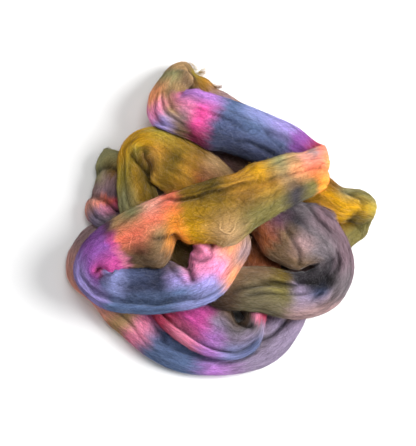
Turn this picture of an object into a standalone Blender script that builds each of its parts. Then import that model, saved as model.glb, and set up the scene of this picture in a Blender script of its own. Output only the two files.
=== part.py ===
"""A loose heap of wool roving.

One thick, untwisted strand of combed wool lies on a table in loops, bends and folds. It is a single closed solid:
a soft flattened section swept along the strand's own route. Metres, +Z up, the origin on the table under the
middle of the heap.

The route is a table of the places that the strand passes through, in millimetres. A spline through them gives the
strand's middle line, and each pass then settles on whatever was laid before it.
"""

import math
from typing import NamedTuple

import bmesh
import bpy
import numpy as np

MM = 0.001

# Fineness of the solid.
LONGEST_STEP = 10.5      # mm along the strand between two sections, where it is straight
SHORTEST_STEP = 4.0      # mm between two sections in a fold
STEP_OF_RADIUS = 0.4     # the step in a bend, as a share of its radius
SIDES = 24               # points round one section
SPLINE_STEPS = 16        # samples between two places of the route

# The soft section.
SECTION_POWER = 0.88     # below 1 the flattened section is a little fuller than an ellipse
INNER_REACH = 0.75       # inside a bend the strand gathers within this share of the bend's radius
LEAST_THICKNESS = 8.0    # mm of wool left where a pass is squeezed from below
CREASE_SPREAD = 0.2      # half width of a crease, as a share of half the strand's width
END_LENGTH = 16.0        # mm over which each end of the strand rounds off
END_SCALE = 0.3          # size of the last section, as a share of the full one

# How the passes settle.
CELL = 2.0               # mm, grid of the heights that a pass lies on
GRID_HALF = 170.0        # mm, the grid reaches this far from the origin
SPREAD_CELLS = 2         # the heights below are widened by this many cells before a pass lies on them
CLEARANCE = 2.0          # mm of air kept between two passes
SETTLE = 4.0             # mm that the underside of a pass hangs down where something is that near below it
OWN_LENGTH = 32.0        # mm of strand on each side of a section that it doesn't lie on
STRETCH = 4              # sections in one stretch of laid strand
SIDE_PARTS = 6           # points read along one side of a section for the heights
LAID_UNDER = 0.5         # mm, a height above this is wool and not the table


class Place(NamedTuple):
    """One place on the strand's middle line, and the section there, in mm."""
    x: float
    y: float
    z: float
    width: float
    thick: float


class Pass(NamedTuple):
    """A run of the strand: which side faces up (0 in the turn of a fold), and its turn in the laying order."""
    name: str
    face: int
    layer: int
    places: list


class Crease(NamedTuple):
    """A lengthwise crease in the upper side of a pass, between two of its places (counted from 0)."""
    run: str
    first: float
    last: float
    across_first: float  # -1 at one edge of the strand, 1 at the edge that its across direction points to
    across_last: float
    deep: float          # mm


class Lobe(NamedTuple):
    """A bulge of one edge of the strand, or a notch where reach is negative."""
    run: str
    place: float
    side: int            # 1 for the edge that the across direction points to, -1 for the other
    reach: float         # mm
    length: float        # mm along the strand


ROUTE = [
    Pass("outer loop", 1, 1, [
        Place(-70, -20, 8, 30, 16), Place(-90, -25, 9, 36, 19), Place(-105, -38, 9, 36, 19),
        Place(-105, -53, 9, 36, 19), Place(-91, -67, 9, 36, 19), Place(-69, -83, 9, 38, 19),
        Place(-52, -99, 9, 38, 20), Place(-31, -110, 9, 38, 20), Place(-8, -114, 9, 36, 19),
        Place(15, -111, 9, 38, 19), Place(35, -102, 9, 40, 19), Place(48, -85, 9, 40, 19),
        Place(55, -65, 8, 38, 17), Place(67, -43, 8, 38, 17), Place(84, -26, 8, 36, 17),
        Place(100, -13, 8, 30, 17), Place(111, -7, 9, 26, 13)]),
    Pass("right tip fold", 0, 2, [Place(118, -3, 18, 26, 12)]),
    Pass("right tip back", -1, 3, [
        Place(111, 1, 27, 28, 13), Place(100, 3, 27, 32, 17), Place(86, 10, 25, 32, 17)]),
    Pass("floor run", -1, 3, [
        Place(65, 23, 16, 34, 18), Place(40, 38, 9, 36, 18), Place(11, 44, 9, 36, 18),
        Place(-20, 45, 9, 36, 18), Place(-50, 41, 9, 36, 18)]),
    Pass("left lobes", -1, 3, [
        Place(-76, 36, 9, 34, 19), Place(-89, 29, 9, 32, 20), Place(-93, 9, 9, 32, 20),
        Place(-84, -3, 10, 32, 19), Place(-64, -7, 11, 32, 18), Place(-51, -24, 10, 34, 18)]),
    Pass("lower hook", -1, 4, [
        Place(-49, -47, 10, 36, 18), Place(-39, -71, 16, 42, 18), Place(-19, -89, 22, 46, 18),
        Place(-4, -98, 24, 48, 18), Place(14, -104, 27, 38, 17), Place(25, -99, 27, 24, 17),
        Place(28, -89, 26, 16, 18), Place(26, -77, 22, 24, 16), Place(29, -56, 14, 34, 16),
        Place(32, -32, 12, 36, 16), Place(24, -7, 10, 38, 17)]),
    Pass("upper left loop", -1, 6, [
        Place(2, 12, 18, 44, 18), Place(-16, 23, 25, 50, 19), Place(-35, 36, 28, 48, 19),
        Place(-54, 50, 28, 38, 20)]),
    Pass("upper left loop below", -1, 5, [
        Place(-68, 46, 27, 26, 19), Place(-68, 24, 27, 30, 18), Place(-63, 0, 28, 34, 17),
        Place(-50, -23, 27, 34, 16), Place(-29, -41, 22, 36, 15), Place(-10, -57, 21, 36, 16)]),
    Pass("right loop below", -1, 7, [
        Place(9, -67, 35, 36, 17), Place(33, -69, 37, 36, 17), Place(56, -72, 30, 38, 20),
        Place(76, -67, 26, 38, 21), Place(86, -56, 24, 38, 21), Place(87, -43, 24, 44, 21)]),
    Pass("right loop above", -1, 8, [
        Place(78, -33, 28, 50, 21), Place(65, -25, 31, 54, 20), Place(48, -15, 32, 48, 19)]),
    Pass("hidden turn", -1, 9, [
        Place(30, -3, 35, 36, 17), Place(14, -1, 39, 30, 16), Place(6, -16, 41, 30, 17)]),
    Pass("front loop", -1, 10, [
        Place(6, -34, 43, 36, 18), Place(-3, -53, 44, 42, 19), Place(-23, -65, 44, 42, 19),
        Place(-48, -70, 38, 36, 21), Place(-71, -70, 34, 36, 21), Place(-87, -68, 32, 33, 21),
        Place(-99, -63, 31, 25, 21), Place(-105, -54, 32, 23, 21)]),
    Pass("top run", -1, 11, [
        Place(-99, -43, 34, 30, 21), Place(-85, -34, 38, 38, 21), Place(-69, -28, 43, 44, 21),
        Place(-52, -23, 49, 46, 21), Place(-27, -15, 55, 42, 21), Place(-2, -11, 61, 52, 20),
        Place(24, 0, 60, 46, 20), Place(51, 15, 55, 40, 20), Place(68, 23, 51, 40, 18),
        Place(75, 27, 49, 38, 14)]),
    Pass("belt fold", 0, 10, [Place(81, 31, 40, 36, 11)]),
    Pass("back run", 1, 9, [
        Place(74, 36, 33, 33, 16), Place(66, 41, 31, 35, 18), Place(51, 50, 32, 42, 20),
        Place(26, 61, 32, 44, 20), Place(0, 70, 34, 44, 20), Place(-23, 77, 35, 42, 20),
        Place(-38, 85, 30, 39, 20), Place(-42, 98, 24, 29, 19)]),
    Pass("top lobe", 1, 8, [Place(-39, 110, 17, 22, 17), Place(-36, 120, 12, 18, 15)]),
    Pass("loose end", 1, 2, [
        Place(-30, 125, 9, 15, 14), Place(-23, 118, 8, 16, 14), Place(-10, 103, 7, 22, 13),
        Place(9, 92, 6, 20, 11), Place(30, 83, 5, 14, 8)]),
]

CREASES = [
    Crease("outer loop", 5.0, 10.0, 0.0, -0.3, 4.0),
    Crease("lower hook", 0.5, 4.5, 0.55, 0.35, 5.0),
    Crease("upper left loop", 0.0, 4.0, 0.2, -0.1, 3.5),
    Crease("right loop below", 0.0, 3.0, -0.35, 0.0, 4.0),
    Crease("right loop above", 0.0, 2.5, 0.4, 0.2, 4.0),
    Crease("front loop", 0.5, 6.0, -0.55, -0.45, 5.0),
    Crease("top run", 3.0, 9.0, -0.65, 0.05, 6.0),
    Crease("back run", 0.5, 5.5, -0.3, 0.25, 4.0),
]

LOBES = [
    Lobe("front loop", 1.2, 1, 4.0, 9.0),
    Lobe("front loop", 2.0, 1, -8.0, 7.0),
    Lobe("front loop", 2.6, 1, 4.0, 9.0),
    Lobe("front loop", 4.2, 1, 3.5, 18.0),
    Lobe("top run", 1.8, 1, 2.5, 18.0),
    Lobe("top run", 3.2, 1, 8.0, 13.0),
    Lobe("top run", 4.0, 1, -6.0, 8.0),
    Lobe("top run", 5.1, 1, 5.0, 13.0),
    Lobe("left lobes", 1.5, -1, -4.0, 7.0),
    Lobe("left lobes", 0.9, 1, 4.0, 6.0),
    Lobe("left lobes", 1.45, 1, -5.0, 6.0),
    Lobe("left lobes", 2.3, 1, 3.5, 8.0),
    Lobe("back run", 6.2, 1, 4.0, 14.0),
]


def all_places():
    """The whole route as one list of (pass, place)."""
    return [(run, place) for run in ROUTE for place in run.places]


def first_place_of(name):
    """Number of the first place of a pass, counted along the whole route."""
    return next(number for number, (run, _) in enumerate(all_places()) if run.name == name)


def spline_point(before, start, end, after, share):
    """Catmull-Rom curve between start and end."""
    return 0.5 * (2 * start + (end - before) * share
                  + (2 * before - 5 * start + 4 * end - after) * share ** 2
                  + (3 * start - before - 3 * end + after) * share ** 3)


def dense_line():
    """Points close together on the strand's middle line, with their place number (and its fraction)."""
    knots = np.array([(p.x, p.y, p.z) for _, p in all_places()], dtype=float)
    padded = np.vstack([2 * knots[0] - knots[1], knots, 2 * knots[-1] - knots[-2]])
    points, numbers = [], []
    for index in range(len(knots) - 1):
        for step in range(SPLINE_STEPS):
            share = step / SPLINE_STEPS
            points.append(spline_point(*padded[index:index + 4], share))
            numbers.append(index + share)
    return np.array(points + [knots[-1]]), np.array(numbers + [len(knots) - 1.0])


def arc_length(points):
    """Length of the line up to each of its points."""
    return np.concatenate([[0.0], np.cumsum(np.linalg.norm(np.diff(points, axis=0), axis=1))])


def running_mean(values, reach):
    """Each value averaged with its neighbours."""
    padded = np.pad(values, reach, mode="edge")
    return np.convolve(padded, np.ones(2 * reach + 1) / (2 * reach + 1), mode="valid")


def middle_line():
    """Stations along the strand: their points, their place numbers and their arc lengths.

    They lie closer together in the bends and the folds.
    """
    points, numbers = dense_line()
    arc = arc_length(points)
    turn = np.gradient(unit(np.gradient(points, axis=0)), axis=0)
    curve = np.linalg.norm(turn, axis=1) / np.maximum(np.gradient(arc), 1e-6)
    step = np.clip(STEP_OF_RADIUS / np.maximum(curve, 1e-4), SHORTEST_STEP, LONGEST_STEP)
    density = running_mean(1.0 / step, SPLINE_STEPS // 4)
    count = np.concatenate([[0.0], np.cumsum((density[1:] + density[:-1]) / 2 * np.diff(arc))])
    even = np.linspace(0.0, count[-1], round(count[-1]) + 1)
    line = np.column_stack([np.interp(even, count, points[:, axis]) for axis in range(3)])
    return line, np.interp(even, count, numbers), np.interp(even, count, arc)


def unit(vectors):
    """Each row scaled to length 1."""
    return vectors / np.maximum(np.linalg.norm(vectors, axis=-1, keepdims=True), 1e-9)


def place_guides():
    """Level direction across the strand at each place. In the turn of a fold it is the line of the fold."""
    places = all_places()
    knots = np.array([(p.x, p.y) for _, p in places], dtype=float)
    ahead = np.gradient(knots, axis=0)
    guides = unit(np.column_stack([-ahead[:, 1], ahead[:, 0], np.zeros(len(knots))]))
    faces = np.array([run.face for run, _ in places], dtype=float)
    for index in np.flatnonzero(faces == 0):
        into = knots[index] - knots[index - 1]
        out = knots[index + 1] - knots[index]
        guides[index] = unit(np.array([into[0] - out[0], into[1] - out[1], 0.0]))[[1, 0, 2]] * (-1, 1, 0)
        guides[index - 1], guides[index + 1] = guides[index - 2], guides[index + 2]
        faces[index] = 1.0 if guides[index] @ (faces[index - 1] * guides[index - 1]) > 0 else -1.0
    return guides * faces[:, None]


def frames(line, numbers):
    """Along, across and through directions at each station. Across is always level."""
    along = unit(np.gradient(line, arc_length(line), axis=0))
    guides = place_guides()
    count = np.arange(len(guides))
    across = unit(np.column_stack([np.interp(numbers, count, guides[:, axis]) for axis in range(3)]))
    return along, across, unit(np.cross(along, across))


def bend_limits(along, across, stations):
    """How far the strand can reach to each side, in mm: unlimited outside a bend, less than its radius inside."""
    turn = np.gradient(along, stations, axis=0)
    curve = np.sum(turn * across, axis=1)
    inside = np.maximum(curve, 0.0), np.maximum(-curve, 0.0)
    tightest = [np.max([np.roll(side, shift) for shift in (-1, 0, 1)], axis=0) for side in inside]
    return [INNER_REACH / np.maximum(side, 1e-4) for side in tightest]


def place_values(numbers, field):
    """A column of the route's table at each station."""
    values = np.array([getattr(place, field) for _, place in all_places()], dtype=float)
    return np.interp(numbers, np.arange(len(values)), values)


def end_scale(stations):
    """Size of each section, smaller at the two ends of the strand."""
    distance = np.minimum(stations, stations[-1] - stations)
    share = np.clip(1.0 - distance / END_LENGTH, 0.0, 1.0)
    return END_SCALE + (1.0 - END_SCALE) * np.sqrt(1.0 - share ** 2)


def crease_depths(numbers, across_share, upper):
    """How deep the creases press into the upper side of each section, in mm."""
    depth = np.zeros((len(numbers), len(across_share)))
    for crease in CREASES:
        start = first_place_of(crease.run)
        first, last = start + crease.first, start + crease.last
        along_share = np.clip((numbers - first) / (last - first), 0.0, 1.0)
        strength = np.sin(math.pi * along_share) ** 0.5
        across = crease.across_first + (crease.across_last - crease.across_first) * along_share
        shape = np.exp(-((across_share[None, :] - across[:, None]) / CREASE_SPREAD) ** 2)
        depth += crease.deep * strength[:, None] * shape * upper
    return depth


def lobe_reach(numbers, stations, side):
    """How much further the lobes of one edge reach at each station, in mm."""
    extra = np.zeros(len(stations))
    for lobe in LOBES:
        if lobe.side == side:
            middle = np.interp(first_place_of(lobe.run) + lobe.place, numbers, stations)
            extra += lobe.reach * np.exp(-((stations - middle) / lobe.length) ** 2)
    return extra


def soft_limit(reach, limit):
    """Reach held smoothly below a limit."""
    return (reach ** -4 + limit ** -4) ** -0.25


def loose_sections(line, numbers, stations):
    """Points of every section before the passes settle, with how far up (1) or down (-1) each point sits."""
    along, across, through = frames(line, numbers)
    angle = np.arange(SIDES) * 2 * math.pi / SIDES
    side = np.sign(np.cos(angle)) * np.abs(np.cos(angle)) ** SECTION_POWER
    rise = np.sign(np.sin(angle)) * np.abs(np.sin(angle)) ** SECTION_POWER
    scale = end_scale(stations)
    half_width = place_values(numbers, "width") / 2 * scale
    half_thick = place_values(numbers, "thick") / 2 * scale
    above, under = (soft_limit(half_thick, limit) for limit in bend_limits(along, through, stations))
    reaches = [half_width + lobe_reach(numbers, stations, side_sign) for side_sign in (1, -1)]
    left, right = (soft_limit(reach, limit) for reach, limit in zip(reaches, bend_limits(along, across, stations)))
    reach = np.where(side > 0, left[:, None], right[:, None]) * side
    up_side = np.sign(through[:, 2:3]) * rise
    upper = np.clip(up_side * 2.0, 0.0, 1.0)
    press = crease_depths(numbers, side, upper)
    height = np.where(rise > 0, above[:, None], under[:, None]) * rise - np.sign(rise) * press
    points = (line[:, None, :] + across[:, None, :] * reach[..., None] + through[:, None, :] * height[..., None])
    return points, up_side


def station_layers(numbers):
    """Turn of each station in the laying order."""
    layers = np.array([run.layer for run, _ in all_places()])
    return layers[np.round(numbers).astype(int)]


def grid_index(values):
    """Cell number of a coordinate in mm."""
    return np.clip(((values + GRID_HALF) / CELL).astype(int), 0, round(2 * GRID_HALF / CELL) - 1)


def stretch_heights(rings):
    """Heights of the top of one stretch of strand, on the grid. Empty cells are 0, the table."""
    cells = round(2 * GRID_HALF / CELL)
    heights = np.zeros((cells, cells))
    fine = math.ceil(LONGEST_STEP / CELL) * 2
    closed = np.concatenate([rings, rings[:, :1]], axis=1)
    for first, second in zip(closed[:-1], closed[1:]):
        for step in range(fine + 1):
            ring = first + (second - first) * step / fine
            for part in range(SIDE_PARTS):
                point = ring[:-1] + (ring[1:] - ring[:-1]) * part / SIDE_PARTS
                np.maximum.at(heights, (grid_index(point[:, 0]), grid_index(point[:, 1])), point[:, 2])
    return heights


def widened(heights):
    """Heights spread sideways by a few cells, so that a pass clears the edges of what it lies on."""
    spread = heights.copy()
    for shift_x in range(-SPREAD_CELLS, SPREAD_CELLS + 1):
        for shift_y in range(-SPREAD_CELLS, SPREAD_CELLS + 1):
            spread = np.maximum(spread, np.roll(heights, (shift_x, shift_y), axis=(0, 1)))
    return spread


def heights_at(heights, points):
    """Height under each point, read smoothly from the grid."""
    place = (points[..., :2] + GRID_HALF) / CELL - 0.5
    low = np.clip(np.floor(place).astype(int), 0, heights.shape[0] - 2)
    part = np.clip(place - low, 0.0, 1.0)
    x, y = low[..., 0], low[..., 1]
    near = heights[x, y] * (1 - part[..., 0]) + heights[x + 1, y] * part[..., 0]
    far = heights[x, y + 1] * (1 - part[..., 0]) + heights[x + 1, y + 1] * part[..., 0]
    return near * (1 - part[..., 1]) + far * part[..., 1]


def settle(points, up_side, numbers, stations):
    """Lay the passes in their order, each one resting on the table and on the passes below it."""
    layers = station_layers(numbers)
    points = points.copy()
    laid = []                       # (first arc, last arc, heights) of each stretch that is down
    for layer in sorted(set(layers)):
        members = np.flatnonzero(layers == layer)
        for station in members:
            below = np.zeros(SIDES)
            for first, last, heights in laid:
                if first - OWN_LENGTH < stations[station] < last + OWN_LENGTH:
                    continue
                below = np.maximum(below, heights_at(heights, points[station]))
            floor = np.where(below > LAID_UNDER, below + CLEARANCE, 0.0)
            points[station] = settled_ring(points[station], up_side[station], floor)
        done = layers <= layer
        for start in range(0, len(stations) - 1, STRETCH):
            end = min(start + STRETCH, len(stations) - 1)
            if done[start:end + 1].all() and (layers[start:end + 1] == layer).any():
                rings = points[start:end + 1]
                laid.append((stations[start], stations[end], widened(stretch_heights(rings))))
    return points


def settled_ring(ring, up_side, floor):
    """One section pressed up by what is below it, with its underside hanging a little way down to meet it."""
    ring = ring.copy()
    height = ring[:, 2]
    air = np.maximum(height - floor, 0.0)
    near = np.clip(2.0 - air / SETTLE, 0.0, 1.0)
    height = height - near * np.minimum(air, SETTLE) * np.clip(-up_side, 0.0, 1.0)
    least = floor + LEAST_THICKNESS * np.clip(up_side, 0.0, 1.0)
    ring[:, 2] = np.maximum(height, least)
    return ring


def strand_mesh(points):
    """Closed mesh of the swept strand, with a fan of triangles at each end."""
    mesh = bpy.data.meshes.new("roving")
    shape = bmesh.new()
    rings = [[shape.verts.new(point * MM) for point in ring] for ring in points]
    for first, second in zip(rings[:-1], rings[1:]):
        for index in range(SIDES):
            following = (index + 1) % SIDES
            shape.faces.new((first[index], first[following], second[following], second[index]))
    for ring in (rings[0], rings[-1]):
        centre = shape.verts.new(sum((v.co for v in ring[1:]), ring[0].co.copy()) / SIDES)
        for index in range(SIDES):
            shape.faces.new((centre, ring[index], ring[(index + 1) % SIDES]))
    bmesh.ops.recalc_face_normals(shape, faces=shape.faces)
    bmesh.ops.triangulate(shape, faces=shape.faces)
    shape.to_mesh(mesh)
    shape.free()
    mesh.shade_smooth()
    return mesh


def wool_material():
    """Hand-dyed wool in its average colour, dull and soft."""
    material = bpy.data.materials.new("dyed_wool")
    material.use_nodes = True
    shader = material.node_tree.nodes["Principled BSDF"]
    shader.inputs["Base Color"].default_value = (0.36, 0.24, 0.26, 1.0)
    shader.inputs["Roughness"].default_value = 0.9
    shader.inputs["Metallic"].default_value = 0.0
    return material


def make_roving():
    """The heap: the strand's sections, settled on each other, as one object."""
    line, numbers, stations = middle_line()
    loose, up_side = loose_sections(line, numbers, stations)
    points = settle(loose, up_side, numbers, stations)
    roving = bpy.data.objects.new("roving", strand_mesh(points))
    roving.data.materials.append(wool_material())
    bpy.context.scene.collection.objects.link(roving)
    return roving


def main():
    for thing in list(bpy.data.objects):
        bpy.data.objects.remove(thing, do_unlink=True)
    make_roving()


main()
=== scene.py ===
"""A loose heap of hand-dyed wool roving on a pale table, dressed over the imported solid.

The strand follows the same table of places as the solid, at a finer pitch, with pleats, folds, bands of dye
that run into each other, loose fibres on its skin and fuzz round its edges. Tables are in millimetres.
"""
import math
from typing import NamedTuple

import bmesh
import bpy
import numpy as np
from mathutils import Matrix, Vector
from mathutils.bvhtree import BVHTree


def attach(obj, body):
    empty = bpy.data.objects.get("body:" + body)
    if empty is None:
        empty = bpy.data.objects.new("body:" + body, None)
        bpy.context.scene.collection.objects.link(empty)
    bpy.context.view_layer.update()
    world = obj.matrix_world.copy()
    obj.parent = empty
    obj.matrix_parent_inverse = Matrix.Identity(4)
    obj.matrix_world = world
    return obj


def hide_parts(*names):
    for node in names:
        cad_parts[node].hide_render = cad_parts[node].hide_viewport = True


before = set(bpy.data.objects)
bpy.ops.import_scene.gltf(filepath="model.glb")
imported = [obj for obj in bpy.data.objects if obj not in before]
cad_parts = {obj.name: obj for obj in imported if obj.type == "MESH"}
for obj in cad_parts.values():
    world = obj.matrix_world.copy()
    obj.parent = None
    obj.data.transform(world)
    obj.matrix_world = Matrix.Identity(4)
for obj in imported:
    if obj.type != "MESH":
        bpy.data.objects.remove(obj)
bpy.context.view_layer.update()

MM = 0.001

# Fineness of the strand's mesh.
STATIONS = 1030          # sections along the strand
SIDES = 96               # points round one section
SPLINE_STEPS = 24        # samples between two places of the route
SMOOTH_LENGTH = 5.0      # mm over which widths and directions blend from place to place

# The soft section, as in the solid.
SECTION_POWER = 0.88
INNER_REACH = 0.94       # share of a bend's radius that its inner side may take up
LEAST_THICKNESS = 8.0    # mm
END_LENGTH = 16.0        # mm over which each end of the strand closes
END_SCALE = 0.3          # size of the section at the very end
CREASE_SPREAD = 0.2      # half the width of a crease, as a share of half the strand's

# How the passes settle, in mm.
CELL = 1.5               # of the grid of heights
GRID_HALF = 170.0
GRID_CELLS = round(2 * GRID_HALF / CELL)
SPREAD_CELLS = 1         # cells that laid heights spread sideways
CLEARANCE = 0.8          # between one pass and the next
SETTLE = 5.0             # that an underside hangs down to meet what is below
OWN_LENGTH = 32.0        # of strand near a point that don't count as below it
STRETCH = 24             # sections in one stretch of laid strand
LAID_UNDER = 0.5         # heights above this count as wool


class Place(NamedTuple):
    """One place on the strand's middle line, and the section there, in mm."""
    x: float
    y: float
    z: float
    width: float
    thick: float


class Pass(NamedTuple):
    """A run of the strand: which side faces up (0 in the turn of a fold) and when it is laid."""
    name: str
    face: int
    layer: int
    places: list


class Crease(NamedTuple):
    """A lengthwise crease in the upper side of a pass, between two of its places (counted from 0)."""
    run: str
    first: float
    last: float
    across_first: float  # -1 at one edge of the strand, 1 at the edge that its across direction points to
    across_last: float
    deep: float          # mm


class Fold(NamedTuple):
    """A sharp fold pressed into the upper side of a pass."""
    run: str
    path: list           # (place, across) along it
    deep: float          # mm
    half_wide: float     # mm


class Bulge(NamedTuple):
    """A round swelling of the upper side of a pass."""
    run: str
    place: float
    across: float
    radius: float        # mm
    height: float        # mm


class Tuft(NamedTuple):
    """A wisp of fibre that stands out from a pass."""
    run: str
    place: float
    across: float
    length: float        # mm that its longest fibres reach out
    lean: float          # mm that its tip leans along the strand
    spread: float        # mm across its root
    fibres: int


class Stray(NamedTuple):
    """A loose thread on a pass."""
    run: str
    path: list           # (place, across) along it
    lift: float          # mm that its middle stands off the skin
    fibres: int


class Lobe(NamedTuple):
    """A bulge of one edge of the strand, or a notch where reach is negative."""
    run: str
    place: float
    side: int            # 1 or -1: which edge
    reach: float         # mm
    length: float        # mm


class Waver(NamedTuple):
    """Smooth random values over the skin."""
    seed: int
    around: int          # cells round the strand
    along: float         # mm of strand in one cell
    amount: float


class Fibres(NamedTuple):
    """A kind of loose fibre: the points along each, and the ranges that single fibres are drawn from."""
    points: int
    width: tuple         # mm
    tint: tuple          # times the dye
    pale: tuple          # share of white
    length: tuple = ()   # mm, of fibres that follow the skin
    curl: tuple = ()     # mm that they sway to each side


def place_list(*rows):
    """Places from plain rows."""
    return [Place(*row) for row in rows]


def table(kind, runs):
    """Entries of one kind from rows that are listed by pass."""
    return [kind(run, *row) for run, rows in runs.items() for row in rows]


ROUTE = [
    Pass("outer loop", 1, 1, place_list(
        (-70, -20, 8, 30, 16), (-90, -25, 9, 36, 19), (-105, -38, 9, 36, 19), (-105, -53, 9, 36, 19),
        (-91, -67, 9, 36, 19), (-69, -83, 9, 38, 19), (-52, -99, 9, 38, 20), (-31, -110, 9, 38, 20),
        (-8, -114, 9, 36, 19), (15, -111, 9, 38, 19), (35, -102, 9, 40, 19), (48, -85, 9, 40, 19),
        (55, -65, 8, 38, 17), (67, -43, 8, 38, 17), (84, -26, 8, 36, 17), (100, -13, 8, 30, 17),
        (111, -7, 9, 26, 13))),
    Pass("right tip fold", 0, 2, place_list((118, -3, 18, 26, 12))),
    Pass("right tip back", -1, 3, place_list(
        (111, 1, 27, 28, 13), (100, 3, 27, 32, 17), (86, 10, 25, 32, 17))),
    Pass("floor run", -1, 3, place_list(
        (65, 23, 16, 34, 18), (40, 38, 9, 36, 18), (11, 44, 9, 36, 18), (-20, 45, 9, 36, 18),
        (-50, 41, 9, 36, 18))),
    Pass("left lobes", -1, 3, place_list(
        (-76, 36, 9, 34, 19), (-89, 29, 9, 32, 20), (-93, 9, 9, 32, 20), (-84, -3, 10, 32, 19),
        (-64, -7, 11, 32, 18), (-51, -24, 10, 34, 18))),
    Pass("lower hook", -1, 4, place_list(
        (-49, -47, 10, 36, 18), (-39, -71, 16, 42, 18), (-19, -89, 22, 46, 18), (-4, -98, 24, 48, 18),
        (14, -104, 27, 38, 17), (25, -99, 27, 24, 17), (28, -89, 26, 16, 18), (26, -77, 22, 24, 16),
        (29, -56, 14, 34, 16), (32, -32, 12, 36, 16), (24, -7, 10, 38, 17))),
    Pass("upper left loop", -1, 6, place_list(
        (2, 12, 18, 44, 18), (-16, 23, 25, 50, 19), (-35, 36, 28, 48, 19), (-54, 50, 28, 38, 20))),
    Pass("upper left loop below", -1, 5, place_list(
        (-68, 46, 27, 26, 19), (-68, 24, 27, 30, 18), (-63, 0, 28, 34, 17), (-50, -23, 27, 34, 16),
        (-29, -41, 22, 36, 15), (-10, -57, 21, 36, 16))),
    Pass("right loop below", -1, 7, place_list(
        (9, -67, 35, 36, 17), (33, -69, 37, 36, 17), (56, -72, 30, 38, 20), (76, -67, 26, 38, 21),
        (86, -56, 24, 38, 21), (87, -43, 24, 44, 21))),
    Pass("right loop above", -1, 8, place_list(
        (78, -33, 28, 50, 21), (65, -25, 31, 54, 20), (48, -15, 32, 48, 19))),
    Pass("hidden turn", -1, 9, place_list((30, -3, 35, 36, 17), (14, -1, 39, 30, 16), (6, -16, 41, 30, 17))),
    Pass("front loop", -1, 10, place_list(
        (6, -34, 43, 36, 18), (-3, -53, 44, 42, 19), (-23, -65, 44, 42, 19), (-48, -70, 38, 36, 21),
        (-71, -70, 34, 36, 21), (-87, -68, 32, 33, 21), (-99, -63, 31, 25, 21), (-105, -54, 32, 23, 21))),
    Pass("top run", -1, 11, place_list(
        (-99, -43, 34, 30, 21), (-85, -34, 38, 38, 21), (-69, -28, 43, 44, 21), (-52, -23, 49, 46, 21),
        (-27, -15, 55, 42, 21), (-2, -11, 61, 52, 20), (24, 0, 60, 46, 20), (51, 15, 55, 40, 20),
        (68, 23, 51, 40, 18), (75, 27, 49, 38, 14))),
    Pass("belt fold", 0, 10, place_list((81, 31, 40, 36, 11))),
    Pass("back run", 1, 9, place_list(
        (74, 36, 33, 33, 16), (66, 41, 31, 35, 18), (51, 50, 32, 42, 20), (26, 61, 32, 44, 20),
        (0, 70, 34, 44, 20), (-23, 77, 35, 42, 20), (-38, 85, 30, 39, 20), (-42, 98, 24, 29, 19))),
    Pass("top lobe", 1, 8, place_list((-39, 110, 17, 22, 17), (-36, 120, 12, 18, 15))),
    Pass("loose end", 1, 2, place_list(
        (-30, 125, 9, 15, 14), (-23, 118, 8, 16, 14), (-10, 103, 7, 22, 13), (9, 92, 6, 20, 11),
        (30, 83, 5, 14, 8)))
]

# The broad creases of the solid.
CREASES = table(Crease, {
    "outer loop": [(5.0, 10.0, 0.0, -0.3, 3.0)],
    "lower hook": [(0.5, 4.5, 0.55, 0.35, 4.0)],
    "upper left loop": [(0.0, 4.0, 0.2, -0.1, 2.5)],
    "right loop below": [(0.0, 3.0, -0.35, 0.0, 3.0)],
    "right loop above": [(0.0, 2.5, 0.4, 0.2, 3.0)],
    "front loop": [(0.5, 6.0, -0.55, -0.45, 3.0)],
    "top run": [(3.0, 9.0, -0.65, 0.05, 4.0)],
    "back run": [(0.5, 5.5, -0.3, 0.25, 3.0)],
})

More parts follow.
